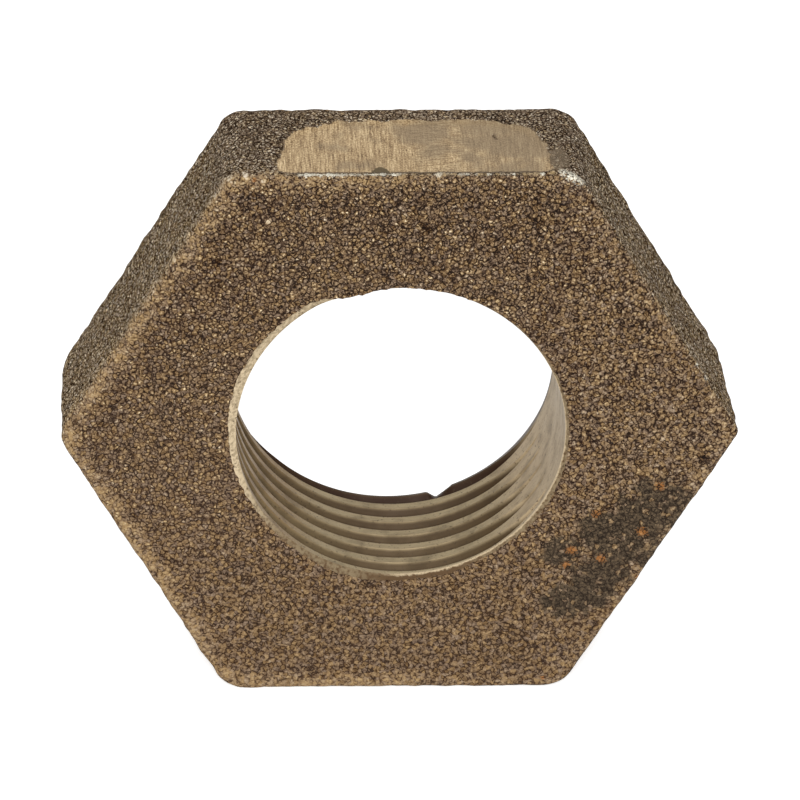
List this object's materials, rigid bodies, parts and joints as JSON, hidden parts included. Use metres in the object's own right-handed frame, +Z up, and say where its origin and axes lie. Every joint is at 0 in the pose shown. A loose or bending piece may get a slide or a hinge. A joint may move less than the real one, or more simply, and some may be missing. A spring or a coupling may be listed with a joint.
{
  "type": "handwheel nut",
  "caption": "Sand-cast bronze hexagon nut with a fine internal thread and a ground gate facet on one flat, which holds a handwheel on a threaded valve sleeve.",
  "frame": {"origin": "on the bore's axis, half way between the front face and the back face", "axes": "+Z up, with the nut standing on one flat; +Y along the bore, from the larger front face to the smaller back face; +X to the right seen from the front"},
  "size_m": [0.0532, 0.0128, 0.0468],
  "materials": {
    "cast_bronze": "rough sand-cast skin, dull and dark, with a cut thread and a ground facet of bare metal"
  },
  "bodies": {
    "root": {"handwheel_nut": "cast_bronze"}
  },
  "joints": []
}
